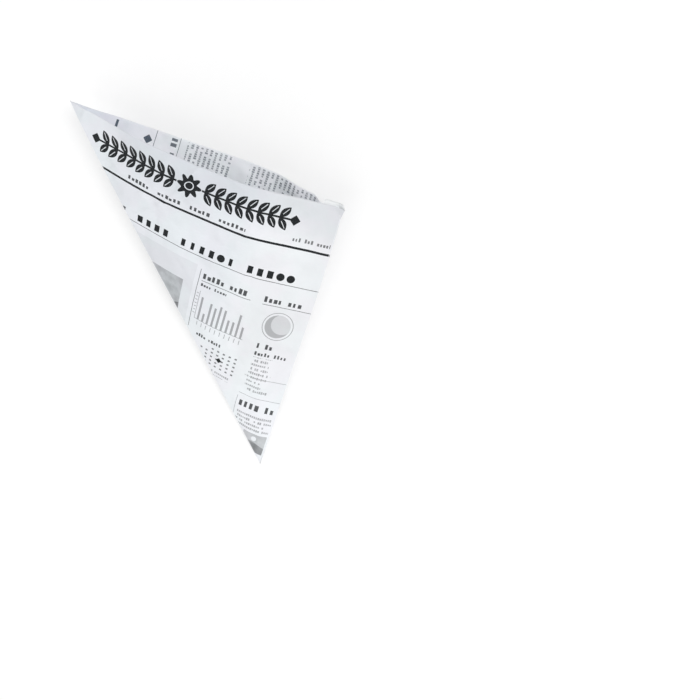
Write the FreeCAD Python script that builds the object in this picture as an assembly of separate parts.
import FreeCAD, Part
import math
import os

V = FreeCAD.Vector

# Cone paper cup: one square paper sheet, folded once on its diagonal, with a glue flap along one side.
# The fold is the long left edge, the glued seam is the right edge, and both run down to the pointed apex.
# It lies on its back panel: apex at the -Y end, mouth at the +Y end, fold towards -X, seam towards +X, +Z up.
# Each panel is flat sectors joined by two soft bends, all of them rulings through the apex, so the whole
# surface unrolls into the flat sheet without stretch. Millimetres and degrees.

# The sheet
SHEET_SIDE = 290.0          # side of the square sheet: apex to seam corner
SHEET_CORNER = 90.0         # corner angle of the sheet at the apex, before folding
WALL = 0.30                 # modelled paper thickness
TIP_BLUNT = 2.5             # length missing from the geometric apex: the blunt folded tip
TIP_CLEARANCE = 2.0         # free length between the packed tip and where the hollow begins

# Soft bends of the back panel, by their angle from the fold, and how far each one turns the paper
BACK_BEND_1_AT = 8.0
BACK_BEND_1_TURN = 31.0
BACK_BEND_2_AT = 30.0
BACK_BEND_2_TURN = 21.7

# Soft bends of the front panel; the second one turns just enough for its edge to meet the back panel's
FRONT_BEND_1_AT = 10.7
FRONT_BEND_1_TURN = 16.3
FRONT_BEND_2_AT = 26.7

BEND_WIDTH = 10.0           # angle of the sheet that each soft bend takes up

# The glue flap: the front panel's edge turned back over the outside of the back panel
FLAP_WIDTH = 20.0
FLAP_STAND = 2.5            # how far its top edge stands above the rim
FLAP_CORNER = 5.0           # chamfer of its upper free corner
FLAP_BOTTOM = 14.0          # distance of its lower end from the geometric apex
FLAP_MARGIN = 0.6           # angle kept free between its tapered edge and the nearest bend

CURVE_STEPS = 14            # points along each curved edge

PANEL = SHEET_CORNER / 2.0  # developed angle of one panel at the apex
MIDDLE = PANEL / 2.0        # ruling that lies along +Y


def advance(frame, angle, turn):
    """Frame (ruling, across, inward) after a sector of the sheet that turns the paper by the given degrees."""
    if angle == 0:
        return frame
    u, t, n = frame
    h = math.radians(angle)
    k = math.radians(turn) / abs(h)
    w = math.sqrt(1.0 + k * k)
    c1 = math.sin(w * h) / w
    c2 = (1.0 - math.cos(w * h)) / (w * w)
    return (u * (1.0 - c2) + t * c1 + n * (c2 * k),
            u * (-c1) + t * math.cos(w * h) + n * (c1 * k),
            u * (c2 * k) - t * (c1 * k) + n * (1.0 - c2 * k * k))


def sectors(bends):
    """Sectors (start, end, turn) of a panel from the fold to the seam: flat, bend, flat, bend, flat."""
    out = []
    at = 0.0
    for centre, turn in bends:
        out.append((at, centre - BEND_WIDTH / 2.0, 0.0))
        at = centre + BEND_WIDTH / 2.0
        out.append((centre - BEND_WIDTH / 2.0, at, turn))
    out.append((at, PANEL, 0.0))
    return out


def seam_in_fold_frame(bends):
    """Seam direction of a panel whose fold frame is the unit axes."""
    frame = (V(1, 0, 0), V(0, 1, 0), V(0, 0, 1))
    for start, end, turn in sectors(bends):
        frame = advance(frame, end - start, turn)
    return frame[0]


def frame_at(first, bends, angle):
    """Frame of a panel at an angle from the fold."""
    frame = first
    for start, end, turn in sectors(bends):
        if angle <= start:
            break
        part = min(angle, end) - start
        frame = advance(frame, part, turn * part / (end - start))
    return frame


def back_fold_frame(bends):
    """Fold frame of the back panel, so that its middle ruling is +Y and its resting sector lies in z = 0."""
    unit = (V(1, 0, 0), V(0, 1, 0), V(0, 0, 1))
    mid = frame_at(unit, bends, MIDDLE)
    world = (V(0, 1, 0), V(1, 0, 0), V(0, 0, 1))
    return tuple(sum((world[i] * mid[i].dot(axis) for i in range(3)), V(0, 0, 0)) for axis in unit)


def matching_turn(chord):
    """Turn of the front panel's second bend that gives both panels the same angle between fold and seam."""
    low, high = 0.0, 80.0
    for _ in range(60):
        turn = (low + high) / 2.0
        seam = seam_in_fold_frame([(FRONT_BEND_1_AT, FRONT_BEND_1_TURN), (FRONT_BEND_2_AT, turn)])
        if seam.x < chord:
            low = turn
        else:
            high = turn
    return turn


back_bends = [(BACK_BEND_1_AT, BACK_BEND_1_TURN), (BACK_BEND_2_AT, BACK_BEND_2_TURN)]
back_seam = seam_in_fold_frame(back_bends)
front_turn_2 = matching_turn(back_seam.x)
front_bends = [(FRONT_BEND_1_AT, FRONT_BEND_1_TURN), (FRONT_BEND_2_AT, front_turn_2)]
front_seam = seam_in_fold_frame(front_bends)

# Opening angle of the fold, which brings the two seam edges together
fold_opening = math.atan2(back_seam.z, back_seam.y) + math.atan2(front_seam.z, front_seam.y)

back_first = back_fold_frame(back_bends)
fold_dir, back_across, back_inward = back_first
front_first = (fold_dir,
               back_across * math.cos(fold_opening) + back_inward * math.sin(fold_opening),
               back_across * math.sin(fold_opening) - back_inward * math.cos(fold_opening))
back_last = frame_at(back_first, back_bends, PANEL)
front_last = frame_at(front_first, front_bends, PANEL)
seam_dir = back_last[0]
seam_opening = math.acos(-front_last[2].dot(back_last[2]))

# Tip and hollow ends are cut square to this axis
axis = (fold_dir + seam_dir).normalize()

# Inside corners: the inner faces of the two panels meet on lines parallel to the fold and to the seam
fold_inside = (back_inward + front_first[2]) * (WALL / (1.0 + back_inward.dot(front_first[2])))
seam_inside = (back_last[2] + front_last[2]) * (WALL / (1.0 + back_last[2].dot(front_last[2])))

# The hollow begins where the inside corners still lie within the flat sectors beside the fold and seam
fold_setback = WALL / math.tan(fold_opening / 2.0)
seam_setback = WALL / math.tan(seam_opening / 2.0)
first_flat = min(back_bends[0][0], front_bends[0][0]) - BEND_WIDTH / 2.0
last_flat = PANEL - max(back_bends[1][0], front_bends[1][0]) - BEND_WIDTH / 2.0
hollow_from = TIP_CLEARANCE + max(fold_setback / math.tan(math.radians(first_flat)),
                                  seam_setback / math.tan(math.radians(last_flat)),
                                  TIP_BLUNT)


def rim_radius(angle):
    """Distance from the apex to the straight rim of the sheet along the ruling at an angle from the fold."""
    return SHEET_SIDE / math.cos(math.radians(PANEL - angle))


def outer_rim(frame, angle):
    return frame[0] * rim_radius(angle)


def inner_rim(frame, angle):
    return frame[0] * rim_radius(angle) + frame[2] * WALL


def outer_tip(frame, angle):
    return frame[0] * (TIP_BLUNT / axis.dot(frame[0]))


def inner_tip(frame, angle):
    return frame[0] * ((hollow_from - WALL * axis.dot(frame[2])) / axis.dot(frame[0])) + frame[2] * WALL


def on_line(direction, offset, level):
    """Point at a level along the axis, on the line with this direction through the offset point."""
    return offset + direction * ((level - axis.dot(offset)) / axis.dot(direction))


# Ends of the inside corner lines: at the hollow's lower end and at the rim
fold_low = on_line(fold_dir, fold_inside, hollow_from)
seam_low = on_line(seam_dir, seam_inside, hollow_from)
fold_length = SHEET_SIDE / math.cos(math.radians(PANEL))
fold_high = (fold_dir * (fold_length - fold_setback * math.tan(math.radians(PANEL)))
             + back_across * fold_setback + back_inward * WALL)
seam_high = seam_dir * SHEET_SIDE + seam_inside


def curve(points):
    """Edge through points: a straight line for two of them, else a smooth curve at even parameters."""
    if len(points) == 2:
        return Part.LineSegment(points[0], points[1]).toShape()
    spline = Part.BSplineCurve()
    spline.interpolate(Points=points, Parameters=[i / (len(points) - 1.0) for i in range(len(points))])
    return spline.toShape()


def flat_face(points):
    """Planar face with straight edges through the points."""
    return Part.Face(Part.makePolygon(points + [points[0]]))


def strip(low_points, high_points):
    """Face between two edges of one sector: planar where they are straight, ruled on a bend."""
    if len(low_points) == 2:
        return flat_face([low_points[0], low_points[1], high_points[1], high_points[0]])
    return Part.makeRuledSurface(curve(low_points), curve(high_points))


def panel(first, bends):
    """Faces of one panel, with the edge points of its tip and of its hollow's end, from fold to seam."""
    faces = []
    tip_rows = []
    hollow_rows = []
    parts = sectors(bends)
    for i, (start, end, turn) in enumerate(parts):
        steps = CURVE_STEPS if turn else 1
        angles = [start + (end - start) * j / steps for j in range(steps + 1)]
        frames = [frame_at(first, bends, a) for a in angles]
        rows = {}
        for name, point in (("out_low", outer_tip), ("out_high", outer_rim),
                            ("in_low", inner_tip), ("in_high", inner_rim)):
            rows[name] = [point(f, a) for f, a in zip(frames, angles)]
        if i == 0:
            rows["in_low"][0] = fold_low
            rows["in_high"][0] = fold_high
        if i == len(parts) - 1:
            rows["in_low"][-1] = seam_low
            rows["in_high"][-1] = seam_high
        faces.append(strip(rows["out_low"], rows["out_high"]))
        faces.append(strip(rows["in_low"], rows["in_high"]))
        faces.append(strip(rows["out_high"], rows["in_high"]))
        tip_rows.append(rows["out_low"])
        hollow_rows.append(rows["in_low"])
    return faces, tip_rows, hollow_rows


def end_face(front_rows, back_rows):
    """Planar face that closes the tip, or the lower end of the hollow."""
    edges = [curve(row) for row in front_rows + back_rows]
    return Part.Face(Part.Wire(Part.__sortEdges__(edges)))


def solid_from(faces):
    shell = Part.makeShell(faces)
    shell.sewShape()
    solid = Part.makeSolid(shell)
    if solid.Volume < 0:
        solid.reverse()
    return solid


front_faces, front_tip, front_hollow = panel(front_first, front_bends)
back_faces, back_tip, back_hollow = panel(back_first, back_bends)
cone = solid_from(front_faces + back_faces + [end_face(front_tip, back_tip), end_face(front_hollow, back_hollow)])

# The glue flap lies on the outside of the back panel's last flat sector, tapered towards the tip
taper = math.tan(math.radians(PANEL - BACK_BEND_2_AT - BEND_WIDTH / 2.0 - FLAP_MARGIN))
across = back_last[1] * -1.0
outward = back_last[2] * -1.0
lap = WALL / math.tan(seam_opening)
outline = [(0.0, FLAP_BOTTOM),
           (FLAP_BOTTOM * taper, FLAP_BOTTOM),
           (FLAP_WIDTH, FLAP_WIDTH / taper),
           (FLAP_WIDTH, SHEET_SIDE + FLAP_STAND - FLAP_CORNER),
           (FLAP_WIDTH - FLAP_CORNER, SHEET_SIDE + FLAP_STAND),
           (0.0, SHEET_SIDE + FLAP_STAND)]
near = [across * a + seam_dir * b for a, b in outline]
far = [across * (a if a > 0 else -lap) + seam_dir * b + outward * WALL for a, b in outline]
flap_faces = [flat_face(near), flat_face(far)]
for i in range(len(outline)):
    j = (i + 1) % len(outline)
    flap_faces.append(flat_face([near[i], near[j], far[j], far[i]]))
flap = solid_from(flap_faces)

paper_cone = cone.fuse(flap)
if len(paper_cone.Solids) == 1:
    paper_cone = paper_cone.Solids[0]

# The origin goes below the middle of the part, at the level of the surface that it lies on
box = paper_cone.BoundBox
apex_at = V(-(box.XMin + box.XMax) / 2.0, -(box.YMin + box.YMax) / 2.0, 0.0)
paper_cone.translate(apex_at)

os.makedirs("parts", exist_ok=True)
paper_cone.exportStep("parts/paper_cone.step")

box = paper_cone.BoundBox
print("valid", paper_cone.isValid(), "solids", len(paper_cone.Solids), "volume", round(paper_cone.Volume, 1))
print("fold opening", round(math.degrees(fold_opening), 2), "seam opening", round(math.degrees(seam_opening), 2))
print("front second turn", round(front_turn_2, 3), "hollow from", round(hollow_from, 2))
print("seam gap", round((front_last[0] - back_last[0]).Length * SHEET_SIDE, 6))
print("box", [round(v, 3) for v in (box.XMin, box.YMin, box.ZMin, box.XMax, box.YMax, box.ZMax)])
print("apex", [round(v, 4) for v in apex_at], "centre of mass", [round(v, 2) for v in paper_cone.CenterOfMass])
